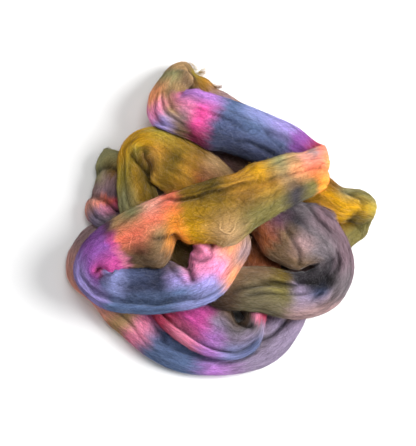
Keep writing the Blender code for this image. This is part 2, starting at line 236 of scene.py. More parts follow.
# Sharper folds in the upper side: a line of (place, across), how deep, and half how wide.
FOLDS = table(Fold, {
    "top run": [
        ([(3.3, -0.75), (4.05, -0.62), (4.9, -0.54), (5.65, -0.44), (6.2, -0.36)], 5.5, 1.3),
        ([(6.1, -0.35), (6.85, -0.18), (7.5, -0.06), (8.5, 0.08), (9.9, 0.15)], 2.8, 1.0),
        ([(3.9, -0.78), (4.5, -0.74), (5.1, -0.7)], 2.5, 1.3),
        ([(5.0, -0.8), (5.6, -0.66), (6.2, -0.55)], 2.0, 1.3),
        ([(3.6, 0.97), (3.47, 0.74), (3.38, 0.55), (3.15, 0.4), (2.85, 0.25)], 4.5, 1.8),
        ([(1.3, 0.92), (1.9, 0.68), (2.4, 0.62)], 2.0, 1.6),
        ([(0.9, -0.55), (1.8, -0.6), (2.8, -0.62)], 1.0, 1.4),
        ([(7.0, -0.55), (8.0, -0.45), (9.0, -0.4)], 1.2, 1.3),
        ([(4.6, 0.25), (5.6, 0.2), (6.6, 0.3)], 1.0, 1.6)],
    "front loop": [
        ([(1.0, -0.8), (1.5, -0.82), (1.9, -0.7), (2.9, -0.55), (3.9, -0.54), (4.7, -0.54), (5.5, -0.54),
          (6.3, -0.43), (7.0, -0.5)], 3.5, 1.5),
        ([(1.9, 1.0), (1.9, 0.65), (1.91, 0.25), (1.93, 0.0)], 5.0, 2.0),
        ([(2.5, 0.95), (2.4, 0.6), (2.25, 0.2), (2.15, -0.1)], 1.5, 1.8),
        ([(0.1, 0.75), (0.35, 0.66), (0.64, 0.53), (0.85, 0.38), (1.05, 0.36)], 2.8, 1.4),
        ([(0.95, 0.36), (1.26, 0.42), (1.42, 0.5), (1.6, 0.8), (1.65, 0.98)], 3.5, 1.4),
        ([(1.66, 1.0), (1.72, 0.72), (1.88, 0.4)], 3.0, 1.5),
        ([(2.9, 0.3), (3.8, 0.15), (4.6, -0.1)], 1.2, 1.8),
        ([(4.9, 0.65), (5.4, 0.45), (5.8, 0.3)], 3.0, 1.4)],
    "back run": [
        ([(6.9, 0.3), (6.2, 0.35), (5.5, 0.5), (4.8, 0.75)], 2.5, 1.5),
        ([(6.9, 0.0), (6.1, 0.05), (5.5, 0.2), (4.9, 0.45)], 2.0, 1.4),
        ([(6.8, 0.6), (6.2, 0.7), (5.6, 0.85)], 2.2, 1.4),
        ([(5.2, -0.2), (4.4, -0.12), (3.6, 0.0), (2.9, 0.05)], 2.2, 1.4),
        ([(3.4, 0.55), (3.0, 0.45), (2.6, 0.45), (2.1, 0.5)], 3.5, 1.6),
        ([(2.7, -0.15), (2.2, 0.05), (1.6, 0.1)], 2.0, 1.3),
        ([(5.6, -0.6), (4.7, -0.45), (4.0, -0.4), (3.2, -0.35)], 1.5, 1.3)],
    "upper left loop below": [
        ([(-0.4, 0.62), (0.5, 0.7), (1.0, 0.7), (2.0, 0.6)], 2.2, 1.5),
        ([(0.25, 0.15), (0.46, -0.17), (0.62, -0.43), (0.85, -0.74)], 4.0, 2.2)],
    "upper left loop": [([(0.8, -0.3), (1.6, -0.2), (2.4, -0.4)], 1.5, 1.6)],
    "left lobes": [
        ([(0.3, 0.0), (0.6, 0.3), (0.88, 0.58), (1.2, 0.95)], 4.0, 1.8),
        ([(1.7, 1.0), (1.8, 0.5), (2.0, 0.0), (2.5, -0.3), (3.0, -0.3)], 5.0, 1.8),
        ([(2.0, 0.75), (2.4, 0.7), (2.9, 0.65)], 3.0, 1.5)],
    "outer loop": [
        ([(9.6, -0.1), (10.2, -0.2), (10.8, -0.3), (11.3, -0.4)], 5.0, 1.8),
        ([(8.2, -0.65), (8.8, -0.5), (9.4, -0.35)], 3.0, 1.6),
        ([(5.6, 0.3), (6.4, -0.1), (7.4, -0.25), (8.2, -0.5)], 2.0, 1.6),
        ([(4.0, -0.45), (4.8, -0.4), (5.6, -0.6), (6.4, -0.7)], 1.6, 1.5)],
    "lower hook": [
        ([(1.0, 0.64), (1.4, 0.68), (1.8, 0.6), (2.6, 0.6), (3.3, 0.71), (3.9, 0.77), (4.6, 0.7)], 5.5, 1.6),
        ([(3.6, 0.25), (4.2, 0.35), (4.8, 0.5)], 1.5, 1.3),
        ([(3.6, -0.98), (4.2, -0.8), (4.7, -0.55), (5.0, -0.32)], 5.0, 2.4)],
    "right loop below": [
        ([(0.1, 0.3), (0.45, 0.05), (0.8, -0.17), (1.25, -0.3), (1.9, -0.3), (2.6, -0.35)], 4.5, 1.6),
        ([(0.5, 0.45), (1.1, 0.17), (1.8, 0.0), (2.5, 0.02)], 4.0, 1.5),
        ([(2.3, -0.6), (2.8, -0.35), (3.2, -0.15), (3.6, 0.0)], 7.5, 5.0),
        ([(2.6, 0.3), (3.1, 0.15), (3.5, 0.24), (4.0, 0.1), (4.55, 0.3), (5.4, 0.4)], 4.0, 1.6),
        ([(2.7, 0.75), (3.1, 0.72), (3.5, 0.5)], 2.5, 2.0)],
    "right loop above": [
        ([(1.8, -0.05), (1.3, -0.3), (0.8, -0.55), (0.4, -0.85)], 3.0, 1.8),
        ([(1.6, 0.85), (1.2, 0.72), (0.8, 0.6), (0.2, 0.55)], 3.0, 1.6),
        ([(1.9, 0.3), (1.4, 0.3), (0.7, 0.2), (0.0, 0.2)], 1.5, 1.5)],
    "right tip back": [
        ([(1.4, 0.6), (0.75, 0.54), (0.3, 0.45), (0.0, 0.37)], 3.5, 1.6),
        ([(0.0, 0.3), (-0.1, -0.3), (0.2, -0.7), (0.4, -0.95)], 3.5, 1.6)],
    "loose end": [([(0.0, 0.35), (0.45, 0.05), (0.85, -0.35), (1.15, -0.75)], 3.0, 1.6)],
})

# Round bulges in the upper side.
BULGES = table(Bulge, {
    "front loop": [
        (0.85, 0.8, 7.0, 6.0), (5.4, 0.75, 7.0, 4.0), (4.6, 0.5, 10.0, 3.0), (1.5, 0.1, 9.0, 2.5),
        (2.2, 0.65, 5.0, 3.0), (6.2, 0.8, 6.0, 4.0)],
    "top run": [(0.6, 0.9, 6.0, 3.0), (2.9, 0.6, 11.0, 3.5), (5.0, 0.75, 8.0, 1.5), (0.2, 0.95, 6.0, 4.0)],
    "upper left loop below": [(0.1, -0.75, 7.0, 4.0)],
    "upper left loop": [(3.2, -0.9, 8.0, 4.0)],
    "left lobes": [(1.5, 0.4, 9.0, 2.5), (2.3, 0.4, 7.0, 2.5)],
    "back run": [(5.9, 0.8, 8.0, 2.0), (5.8, -1.0, 6.0, 5.0)],
    "top lobe": [(0.0, 0.0, 8.0, 2.0), (0.6, -0.85, 7.0, 6.0)],
    "loose end": [(0.0, -0.8, 6.0, 5.0)],
    "right tip fold": [(0.1, 0.6, 8.0, 4.0)],
    "right loop below": [(3.0, 0.45, 5.0, 2.5)],
    "right loop above": [(1.0, -0.6, 11.0, 2.5)],
})

# Wisps that stand out from the edges.
TUFTS = table(Tuft, {
    "loose end": [
        (1.0, 0.95, 9.0, 6.0, 6.0, 90),
        (1.9, 0.95, 6.0, 8.0, 5.0, 70),
        (0.3, 0.9, 6.0, 4.0, 6.0, 60)],
    "right loop above": [(0.6, 0.98, 4.0, -4.0, 9.0, 80), (1.4, 0.95, 3.0, -5.0, 12.0, 60)],
    "left lobes": [(0.35, 0.98, 4.0, -1.0, 3.0, 90)],
    "back run": [(6.4, -0.2, 3.0, 4.0, 10.0, 50)],
    "top run": [(5.0, 0.98, 3.0, -5.0, 12.0, 90)],
    "belt fold": [(0.0, 0.2, 2.5, 2.0, 12.0, 60)],
})

# Loose threads.
STRAYS = table(Stray, {
    "top run": [
        ([(3.7, 0.5), (3.85, 0.85), (4.1, 0.99), (4.4, 0.97), (4.6, 0.8)], 2.0, 5),
        ([(5.0, 0.35), (4.9, 0.6), (5.1, 0.75), (5.3, 0.6), (5.2, 0.4)], 1.0, 4)],
    "upper left loop below": [([(-0.3, 0.3), (0.0, 0.0), (0.25, -0.3), (0.5, -0.2)], 1.5, 4)],
    "front loop": [([(4.3, 0.6), (4.7, 0.85), (5.1, 0.95)], 1.2, 3)],
})

# Lobes and notches of the edges: place, which edge, how far, how long.
LOBES = table(Lobe, {
    "front loop": [
        (1.2, 1, 4.0, 9.0), (0.7, 1, 6.0, 5.0), (2.0, 1, -8.0, 7.0), (2.6, 1, 4.0, 9.0), (4.2, 1, 3.5, 18.0),
        (0.75, -1, -4.5, 13.0)],
    "top run": [
        (1.8, 1, 2.5, 18.0), (2.9, 1, 7.5, 10.0), (3.58, 1, -7.5, 5.5), (5.1, 1, 5.0, 13.0),
        (8.7, -1, -4.5, 10.0), (6.4, -1, 3.5, 10.0)],
    "left lobes": [
        (1.5, -1, -4.0, 7.0), (0.35, 1, 8.0, 4.5), (0.8, 1, 3.0, 4.5), (1.45, 1, -5.0, 6.0),
        (2.3, 1, 3.5, 8.0)],
    "upper left loop": [(2.6, -1, 6.0, 12.0)],
    "back run": [(6.2, 1, 4.0, 14.0), (5.7, -1, 5.0, 9.0), (4.1, 1, 3.0, 8.0)],
    "loose end": [(0.95, 1, -4.0, 6.0), (2.1, 1, -1.5, 6.0)],
    "outer loop": [(3.7, -1, -5.0, 13.0), (2.2, -1, 2.0, 12.0), (1.2, -1, 4.0, 12.0)],
    "right tip back": [(1.6, 1, -3.0, 9.0)],
    "right tip fold": [(0.0, -1, -7.0, 7.0)],
    "lower hook": [(5.5, 1, -3.0, 8.0)],
    "right loop above": [(1.8, -1, 4.0, 12.0), (1.2, 1, 3.0, 14.0)],
    "right loop below": [(5.2, 1, -2.0, 10.0)],
})

# The dyes, as 0-255 values of wool in full light.
PALETTE = {
    "salmon": (240, 170, 150), "peach": (245, 165, 115), "coral": (250, 135, 105), "orange": (245, 155, 55),
    "gold": (200, 150, 20), "mustard": (185, 135, 45), "olive": (150, 115, 35), "bronze": (130, 95, 40),
    "dark_olive": (100, 80, 25), "yellow_olive": (165, 145, 50), "moss": (120, 110, 60),
    "drab": (110, 100, 75), "sage": (150, 145, 100), "tan": (180, 145, 100), "brown": (120, 95, 70),
    "umber": (85, 65, 50), "rust": (150, 85, 50), "rose": (225, 135, 165), "pink": (255, 155, 200),
    "hot_pink": (245, 90, 170), "crimson": (185, 60, 90), "wine": (145, 45, 85), "plum": (90, 60, 75),
    "magenta": (200, 80, 155), "orchid": (190, 130, 205), "violet": (155, 90, 175),
    "purple": (120, 70, 140), "lavender": (165, 150, 210), "periwinkle": (145, 150, 200),
    "steel": (100, 120, 160), "slate": (80, 90, 125), "ink": (60, 65, 90), "charcoal": (60, 55, 60),
    "grey": (115, 105, 110), "mauve": (130, 105, 115), "lilac": (145, 130, 155), "dusty": (160, 130, 130),
}

# Bands of dye along each pass: the band's place, then its dyes side by side from the -1 edge to the 1 edge.
DYES = {
    "outer loop": [
        (0, "grey"), (1.6, "dusty", "grey"), (3.2, "salmon", "brown"), (4.3, "salmon", "tan"),
        (4.9, "tan", "tan", "rose"), (5.5, "rose", "rose", "magenta"), (6.3, "steel", "slate", "ink"),
        (7.2, "steel", "steel", "ink"), (8, "orchid", "steel", "slate"), (9.3, "lilac", "grey", "plum"),
        (10.8, "lilac", "lilac", "plum"), (12.5, "mauve", "umber"), (14.5, "moss", "olive"),
        (15.5, "moss", "gold")],
    "right tip fold": [(0, "moss", "yellow_olive", "moss")],
    "right tip back": [
        (0.1, "dark_olive", "gold", "moss"), (0.9, "gold", "gold", "sage"),
        (1.8, "mustard", "gold", "bronze")],
    "floor run": [(0, "mustard"), (1, "umber"), (3.5, "plum")],
    "left lobes": [
        (0, "yellow_olive", "sage"), (0.6, "dusty", "bronze", "sage"), (1.2, "mauve", "dusty", "sage"),
        (1.6, "mauve", "mauve", "dusty"), (2, "crimson", "coral", "salmon"),
        (2.5, "crimson", "rose", "lilac"), (3.2, "plum", "grey"), (4.5, "plum")],
    "lower hook": [
        (0, "charcoal"), (1.3, "ink", "wine", "crimson"), (2.3, "plum", "magenta", "magenta", "rose"),
        (3.1, "brown", "lilac", "orchid", "orchid"), (3.8, "umber", "grey", "lilac", "periwinkle"),
        (4.6, "umber", "grey", "lilac", "slate"), (5.3, "umber", "grey", "grey", "lilac"),
        (6, "umber", "rose", "crimson"), (7, "plum"), (8.6, "rust"), (10, "umber")],
    "upper left loop": [
        (0.9, "mustard", "rust", "tan"), (1.5, "mustard", "mustard", "bronze"),
        (2.1, "olive", "dark_olive", "olive"), (2.9, "bronze", "mustard", "yellow_olive"),
        (3.6, "dark_olive", "gold")],
    "upper left loop below": [
        (0.1, "bronze", "yellow_olive", "gold"), (0.9, "dark_olive", "olive", "yellow_olive"),
        (1.7, "dark_olive", "olive", "sage"), (3, "dark_olive"), (5, "umber")],
    "right loop below": [
        (0, "brown", "umber"), (0.8, "brown", "drab", "drab"), (1.5, "dark_olive", "moss", "drab"),
        (2.2, "charcoal", "lilac", "lilac", "dusty"), (2.9, "charcoal", "charcoal", "slate", "dusty"),
        (3.8, "charcoal", "charcoal", "grey"), (5, "grey", "charcoal", "mauve")],
    "right loop above": [
        (0.1, "brown", "grey", "grey", "mauve"), (0.9, "brown", "dusty", "grey", "mauve"),
        (1.6, "brown", "brown", "charcoal", "grey"), (2.2, "rust", "plum", "charcoal")],
    "hidden turn": [(0, "rust", "brown"), (2, "tan")],
    "front loop": [
        (0.2, "dusty", "peach", "salmon", "rose"), (1, "peach", "pink", "pink", "rose"),
        (1.6, "periwinkle", "lavender", "pink", "pink"), (2.3, "periwinkle", "steel", "lavender", "mauve"),
        (2.9, "steel", "ink", "ink"), (3.8, "steel", "ink", "slate"),
        (4.6, "steel", "periwinkle", "periwinkle"), (5.2, "lavender", "slate", "lavender"),
        (6, "lavender", "purple", "wine"), (6.8, "lavender", "purple", "magenta")],
    "top run": [
        (0.1, "purple", "violet", "magenta"), (0.8, "purple", "violet", "magenta"),
        (1.2, "plum", "magenta", "rose"), (1.7, "tan", "coral", "brown"), (2.4, "sage", "coral", "brown"),
        (3.1, "salmon", "coral", "tan", "brown"), (3.7, "coral", "orange", "orange"),
        (4.2, "olive", "gold"), (5, "dark_olive", "olive", "tan"), (5.8, "mustard", "bronze", "moss"),
        (6.4, "gold", "mustard", "moss"), (7, "sage", "tan", "charcoal"), (7.7, "tan", "peach", "moss"),
        (8.4, "salmon", "coral", "orange"), (9, "dusty", "coral", "orange")],
    "belt fold": [(0, "coral", "orange", "orange")],
    "back run": [
        (0, "crimson", "purple"), (1.5, "violet", "purple", "ink"), (2.1, "lavender", "slate", "ink"),
        (3, "periwinkle", "steel", "slate", "ink"), (3.9, "steel", "slate", "ink"),
        (4.6, "orchid", "hot_pink", "hot_pink", "wine"), (5.1, "orchid", "pink", "dusty", "brown"),
        (5.7, "orchid", "rose", "tan", "lavender"), (6.3, "pink", "salmon", "pink"),
        (6.9, "tan", "tan", "peach")],
    "top lobe": [(0.2, "brown", "sage", "sage"), (1, "tan")],
    "loose end": [
        (0, "tan"), (0.8, "tan", "umber", "yellow_olive"), (1.6, "umber", "bronze", "mustard"),
        (2.6, "brown", "dusty"), (4, "tan")],
}

# Relief of the wool: cells round the strand, mm of strand in one cell, and height or depth in mm.
PLEATS = [(5, 26.0, 1.0), (13, 44.0, 0.5), (27, 26.0, 0.3)]
# A valley runs where its random value is near 0, and its last number says how near.
VALLEYS = [(6, 80.0, 1.3, 0.10), (9, 55.0, 0.9, 0.12), (17, 34.0, 0.6, 0.18), (31, 22.0, 0.3, 0.3)]
PLEAT_SEED, VALLEY_SEED, STRENGTH_SEED = 20, 40, 50
WANDER = Waver(11, 3, 90.0, 0.35)       # radians that the pleats drift round the strand
LEAST_HALF_WIDTH = 4.0                  # mm
FULL_RELIEF = 15.0                      # mm of half width from which the relief has its full height
LEAST_RELIEF = 0.3                      # share of it on the narrowest strand

# How the dyes meet, and how much painted shade darkens the wool's colour in its pleats and folds.
BAND_STEPS = 65                         # steps across the strand in which a band is worked out
STREAK = Waver(31, 60, 14.0, 2.2)       # mm that single fibre bundles are shifted along the strand
CLOUD = Waver(32, 9, 24.0, 3.0)         # mm that the dyes' edges wander along the strand
DRIFT = Waver(33, 8, 18.0, 1.8)         # mm that the edges between dyes wander across it
PATCHES = [Waver(34, 24, 22.0, 0.12), Waver(35, 80, 9.0, 0.08)]     # lighter and darker wool, in shares
FOLD_WANDER = Waver(61, 12, 12.0, 1.2)  # mm that a fold strays from its line
PLEAT_SHADE = 0.28                      # painted shade: how much darker the wool's colour is made deep in a pleat
FOLD_SHADE = 0.70                       # and painted shade deep in a fold
FOLD_SHADE_DEPTH = 4.0                  # mm of fold that counts as deep

# Loose wool.
LAY_PIECES = 2
LAY_FIBRES = 13500       # long fibres that lie along the skin, in each piece
CROSSED_SHARE = 0.5      # of them, how many cross the others
FUZZ_PIECES = 2
FUZZ_FIBRES = 20000      # short fibres that stand off it, in each piece
FLYAWAYS = 220           # long hairs that leave it
# Points along each fibre, then its ranges of width, tint, paleness, length and curl.
LAY = Fibres(8, (0.14, 0.3), (0.5, 1.4), (0.0, 0.0), (6.0, 22.0), (0.2, 1.4))
# Fuzz is tinted brighter than the dye and paled with white: a painted highlight for the light rim of the
# edges.
FUZZ = Fibres(5, (0.07, 0.13), (1.0, 1.6), (0.0, 0.1), (3.0, 9.0), (0.1, 0.8))
FLYAWAY = Fibres(12, (0.08, 0.14), (0.9, 1.2), (0.0, 0.1), (12.0, 38.0), (0.5, 3.0))
TUFT = Fibres(12, (0.15, 0.3), (0.75, 1.25), (0.0, 0.08))
STRAY = Fibres(40, (0.25, 0.4), (1.1, 1.5), (0.0, 0.08))
FIBRE_WAVE = (8.0, 24.0)  # mm from one sway of a fibre to the next
CROSSED_LENGTH = 0.6     # times the length, of fibres that cross the others
TUFT_TIP = 0.25          # width of a wisp at its tip, as a share of its root
TRIES = 3                # random points tried for each fibre that is wanted
FACES_DOWN = -0.35       # skin that faces further down than this grows no fibres
FREE_START = 0.6         # mm over the skin where the search for free air starts
FREE_AIR = 7.0           # mm of free air that fibres need
LEAST_HEIGHT = 0.1       # mm over the table
SKIN_RADIUS = 15.0       # mm round the strand for each radian, near enough

# The colour map, in shares of its side.
CHARTS = 5               # lengths that the strand is cut into there
CHART_EDGE = 0.02        # free edge round each
RIBBON_UV = 0.0004       # width of a fibre

# Camera and light, in metres, degrees, mm of lens and watts.
CAMERA_TARGET = (-0.010, -0.013, 0.030)
CAMERA_ELEVATION = 75.0
CAMERA_DISTANCE = 1.0
CAMERA_LENS = 100.9
SURROUND = 0.36          # strength of the even white surround
TABLE_HALF = 3.0
TABLE_DROP = 0.0004      # that the table lies below the wool
# Name, place, size and power of each lamp.
LAMPS = [("key", (0.95, -0.05, 0.72), 0.85, 25.0), ("top", (0.15, 0.1, 1.4), 0.6, 7.0)]


def srgb_to_linear(value):
    """Linear light of a 0-255 colour value."""
    share = np.asarray(value, dtype=float) / 255.0
    return np.where(share <= 0.04045, share / 12.92, ((share + 0.055) / 1.055) ** 2.4)


def all_places():
    """The whole route as one list of (pass, place)."""
    return [(run, place) for run in ROUTE for place in run.places]


def first_place_of(name):
    """Number of the first place of a pass, counted along the whole route."""
    return next(number for number, (run, _) in enumerate(all_places()) if run.name == name)


def spline_point(before, start, end, after, share):
    """Catmull-Rom curve between start and end."""
    return 0.5 * (2 * start + (end - before) * share
                  + (2 * before - 5 * start + 4 * end - after) * share ** 2
                  + (3 * start - before - 3 * end + after) * share ** 3)


def unit(vectors):
    """Each row scaled to length 1."""
    return vectors / np.maximum(np.linalg.norm(vectors, axis=-1, keepdims=True), 1e-9)


def eased(share):
    """A share from 0 to 1 that starts and ends softly."""
    return share * share * (3 - 2 * share)


def blended(values, rows, columns, part_row, part_column):
    """Values read between four neighbours: rows and columns are pairs of index arrays."""
    near = values[rows[0], columns[0]] * (1 - part_column) + values[rows[0], columns[1]] * part_column
    far = values[rows[1], columns[0]] * (1 - part_column) + values[rows[1], columns[1]] * part_column
    return near * (1 - part_row) + far * part_row


def round_the_section(angle, count):
    """The two nearest of count columns round the section, and the share of the way between them."""
    column = np.mod(angle / (2 * math.pi) * count, count)
    low = np.floor(column).astype(int) % count
    return (low, (low + 1) % count), column - np.floor(column)


def soft_sign(wave):
    """A sine or cosine made fuller, so that the section is a soft oval."""
    return np.sign(wave) * np.abs(wave) ** SECTION_POWER


def arc_length(points):
    """Length of the line up to each of its points."""
    return np.concatenate([[0.0], np.cumsum(np.linalg.norm(np.diff(points, axis=0), axis=1))])


def smoothed(values, stations, length):
    """Each row averaged with its neighbours, length mm to each side."""
    reach = max(1, round(length / (stations[1] - stations[0])))
    kernel = np.ones(2 * reach + 1) / (2 * reach + 1)
    columns = values.reshape(len(values), -1)
    padded = np.pad(columns, ((reach, reach), (0, 0)), mode="edge")
    out = np.column_stack([np.convolve(column, kernel, mode="valid") for column in padded.T])
    return out.reshape(values.shape)


def middle_line():
    """Evenly spaced stations along the strand: their points, place numbers and arc lengths."""
    knots = np.array([(p.x, p.y, p.z) for _, p in all_places()], dtype=float)
    padded = np.vstack([2 * knots[0] - knots[1], knots, 2 * knots[-1] - knots[-2]])
    points, numbers = [], []
    for index in range(len(knots) - 1):
        for step in range(SPLINE_STEPS):
            share = step / SPLINE_STEPS
            points.append(spline_point(*padded[index:index + 4], share))
            numbers.append(index + share)
    points = np.array(points + [knots[-1]])
    numbers = np.array(numbers + [len(knots) - 1.0])
    arc = arc_length(points)
    even = np.linspace(0.0, arc[-1], STATIONS)
    line = np.column_stack([np.interp(even, arc, points[:, axis]) for axis in range(3)])
    return smoothed(line, even, SMOOTH_LENGTH / 2), np.interp(even, arc, numbers), even


def place_guides():
    """Level direction across the strand at each place. In the turn of a fold it is the line of the fold."""
    places = all_places()
    knots = np.array([(p.x, p.y) for _, p in places], dtype=float)
    ahead = np.gradient(knots, axis=0)
    guides = unit(np.column_stack([-ahead[:, 1], ahead[:, 0], np.zeros(len(knots))]))
    faces = np.array([run.face for run, _ in places], dtype=float)
    for index in np.flatnonzero(faces == 0):
        into = knots[index] - knots[index - 1]
        out = knots[index + 1] - knots[index]
        guides[index] = unit(np.array([into[0] - out[0], into[1] - out[1], 0.0]))[[1, 0, 2]] * (-1, 1, 0)
        guides[index - 1], guides[index + 1] = guides[index - 2], guides[index + 2]
        faces[index] = 1.0 if guides[index] @ (faces[index - 1] * guides[index - 1]) > 0 else -1.0
    return guides * faces[:, None]


def frames(line, numbers, stations):
    """Along, across and through directions at each station. Across is always level."""
    along = unit(np.gradient(line, stations, axis=0))
    guides = place_guides()
    count = np.arange(len(guides))
    across = np.column_stack([np.interp(numbers, count, guides[:, axis]) for axis in range(3)])
    across = unit(smoothed(across, stations, SMOOTH_LENGTH))
    return along, across, unit(np.cross(along, across))


def bend_limits(along, across, stations):
    """How far the strand can reach to each side, in mm. Inside a bend it is less than the bend's radius."""
    turn = smoothed(np.gradient(along, stations, axis=0), stations, SMOOTH_LENGTH / 2)
    curve = np.sum(turn * across, axis=1)
    reach = round(SMOOTH_LENGTH / (stations[1] - stations[0]))
    shifts = range(-reach, reach + 1)
    inside = np.maximum(curve, 0.0), np.maximum(-curve, 0.0)
    tightest = [np.max([np.roll(side, shift) for shift in shifts], axis=0) for side in inside]
    return [smoothed(INNER_REACH / np.maximum(side, 1e-4), stations, SMOOTH_LENGTH) for side in tightest]


def place_values(numbers, stations, column):
    """A column of the route's table at each station."""
    values = np.array([getattr(place, column) for _, place in all_places()], dtype=float)
    return smoothed(np.interp(numbers, np.arange(len(values)), values), stations, SMOOTH_LENGTH)


def end_scale(stations):
    """Size of each section, smaller at the two ends of the strand."""
    distance = np.minimum(stations, stations[-1] - stations)
    share = np.clip(1.0 - distance / END_LENGTH, 0.0, 1.0)
    return END_SCALE + (1.0 - END_SCALE) * np.sqrt(1.0 - share ** 2)


def crease_depths(numbers, across_share, upper):
    """How deep the creases press into the upper side of each section, in mm."""
    depth = np.zeros((len(numbers), len(across_share)))
    for crease in CREASES:
        start = first_place_of(crease.run)
        first, last = start + crease.first, start + crease.last
        along_share = np.clip((numbers - first) / (last - first), 0.0, 1.0)
        strength = np.sin(math.pi * along_share) ** 0.5
        across = crease.across_first + (crease.across_last - crease.across_first) * along_share
        shape = np.exp(-((across_share[None, :] - across[:, None]) / CREASE_SPREAD) ** 2)
        depth += crease.deep * strength[:, None] * shape * upper
    return depth


def lobe_reach(numbers, stations, side):
    """How much further the lobes of one edge reach at each station, in mm."""
    extra = np.zeros(len(stations))
    for lobe in LOBES:
        if lobe.side == side:
            middle = np.interp(first_place_of(lobe.run) + lobe.place, numbers, stations)
            extra += lobe.reach * np.exp(-((stations - middle) / lobe.length) ** 2)
    return extra


def soft_limit(reach, limit):
    """Reach held smoothly below a limit."""
    return (reach ** -4 + limit ** -4) ** -0.25


def section_angles():
    """Angle of each point round the section."""
    return np.arange(SIDES) * 2 * math.pi / SIDES


def loose_sections(line, numbers, stations):
    """Points of every section before the passes settle, with how far up (1) or down (-1) each point sits."""
    along, across, through = frames(line, numbers, stations)
    side, rise = soft_sign(np.cos(section_angles())), soft_sign(np.sin(section_angles()))
    scale = end_scale(stations)
    half_width = place_values(numbers, stations, "width") / 2 * scale
    half_thick = place_values(numbers, stations, "thick") / 2 * scale
    above, under = (soft_limit(half_thick, limit) for limit in bend_limits(along, through, stations))
    reaches = [half_width + lobe_reach(numbers, stations, side_sign) for side_sign in (1, -1)]
    limits = bend_limits(along, across, stations)
    left, right = (soft_limit(reach, limit) for reach, limit in zip(reaches, limits))
    reach = np.where(side > 0, left[:, None], right[:, None]) * side
    up_side = np.sign(through[:, 2:3]) * rise
    upper = np.clip(up_side * 2.0, 0.0, 1.0)
    press = crease_depths(numbers, side, upper)
    height = np.where(rise > 0, above[:, None], under[:, None]) * rise - np.sign(rise) * press
    sideways = across[:, None, :] * reach[..., None]
    return line[:, None, :] + sideways + through[:, None, :] * height[..., None], up_side


def grid_index(values):
    """Cell number of a coordinate in mm."""
    return np.clip(((values + GRID_HALF) / CELL).astype(int), 0, GRID_CELLS - 1)


def stretch_heights(rings):
    """Heights of the top of one stretch of strand, on the grid. Empty cells are 0, the table."""
    heights = np.zeros((GRID_CELLS, GRID_CELLS))
    closed = np.concatenate([rings, rings[:, :1]], axis=1)
    for step in (0.0, 0.25, 0.5, 0.75):
        between = closed[:-1] + (closed[1:] - closed[:-1]) * step
        for part in (0.0, 0.5):
            point = between[:, :-1] + (between[:, 1:] - between[:, :-1]) * part
            np.maximum.at(heights, (grid_index(point[..., 0]), grid_index(point[..., 1])), point[..., 2])
    return heights


def widened(heights):
    """Heights spread sideways, so that a pass clears the edges of what it lies on, then softened."""
    spread = heights.copy()
    steps = range(-SPREAD_CELLS, SPREAD_CELLS + 1)
    shifts = [(x, y) for x in steps for y in steps]
    for shift in shifts:
        spread = np.maximum(spread, np.roll(heights, shift, axis=(0, 1)))
    soft = np.mean([np.roll(spread, shift, axis=(0, 1)) for shift in shifts], axis=0)
    return np.maximum(soft, heights)


def heights_at(heights, points):
    """Height under each point, read smoothly from the grid."""
    place = (points[..., :2] + GRID_HALF) / CELL - 0.5
    low = np.clip(np.floor(place).astype(int), 0, heights.shape[0] - 2)
    part = np.clip(place - low, 0.0, 1.0)
    x, y = low[..., 0], low[..., 1]
    return blended(heights.T, (y, y + 1), (x, x + 1), part[..., 1], part[..., 0])


def settle(points, up_side, numbers, stations):
    """Lay the passes in their order, each one resting on the table and on the passes below it."""
    place_layers = np.array([run.layer for run, _ in all_places()])
    layers = place_layers[np.round(numbers).astype(int)]
    points = points.copy()
    laid = []                       # (first arc, last arc, heights) of each stretch that is down
    for layer in sorted(set(layers)):
        members = np.flatnonzero(layers == layer)
        below = np.zeros((len(members), SIDES))
        for first, last, heights in laid:
            free = (stations[members] < first - OWN_LENGTH) | (stations[members] > last + OWN_LENGTH)
            under = heights_at(heights, points[members[free]])
            below[free] = np.maximum(below[free], under)
        floor = np.where(below > LAID_UNDER, below + CLEARANCE, 0.0)
        points[members] = settled_rings(points[members], up_side[members], floor)
        done = layers <= layer
        for start in range(0, len(stations) - 1, STRETCH):
            end = min(start + STRETCH, len(stations) - 1)
            if done[start:end + 1].all() and (layers[start:end + 1] == layer).any():
                laid.append((stations[start], stations[end], widened(stretch_heights(points[start:end + 1]))))
    return points


def settled_rings(rings, up_side, floor):
    """Sections pressed up by what is below them, with undersides that hang a little way down to meet it."""
    height = rings[..., 2]
    air = np.maximum(height - floor, 0.0)
    near = np.clip(2.0 - air / SETTLE, 0.0, 1.0)
    height = height - near * np.minimum(air, SETTLE) * np.clip(-up_side, 0.0, 1.0)
    least = floor + LEAST_THICKNESS * np.clip(up_side, 0.0, 1.0)
    out = rings.copy()
    out[..., 2] = np.maximum(height, least)
    return out


def field(seed, around, along_length, length):
    """Smooth random values from -1 to 1 over the strand, as a function of arc length (mm) and angle."""
    rng = np.random.default_rng(seed)
    rows = math.ceil(length / along_length) + 4
    lattice = rng.uniform(-1.0, 1.0, (rows, around))

    def read(arc, angle):
        row = np.clip(arc / along_length + 1.0, 0.0, rows - 2.001)
        low = np.floor(row).astype(int)
        columns, part_column = round_the_section(angle, around)
        return blended(lattice, (low, low + 1), columns, eased(row - low), eased(part_column))
    return read


def ring_normals(points):
    """Outward unit normal at each point of the rings."""
    ahead = np.gradient(points, axis=0)
    round_way = np.roll(points, -1, axis=1) - np.roll(points, 1, axis=1)
    normals = unit(np.cross(round_way, ahead))
    outward = points - points.mean(axis=1, keepdims=True)
    flip = np.sign(np.sum(np.sum(normals * outward, axis=-1), axis=1))
    return normals * np.where(flip == 0, 1.0, flip)[:, None, None]


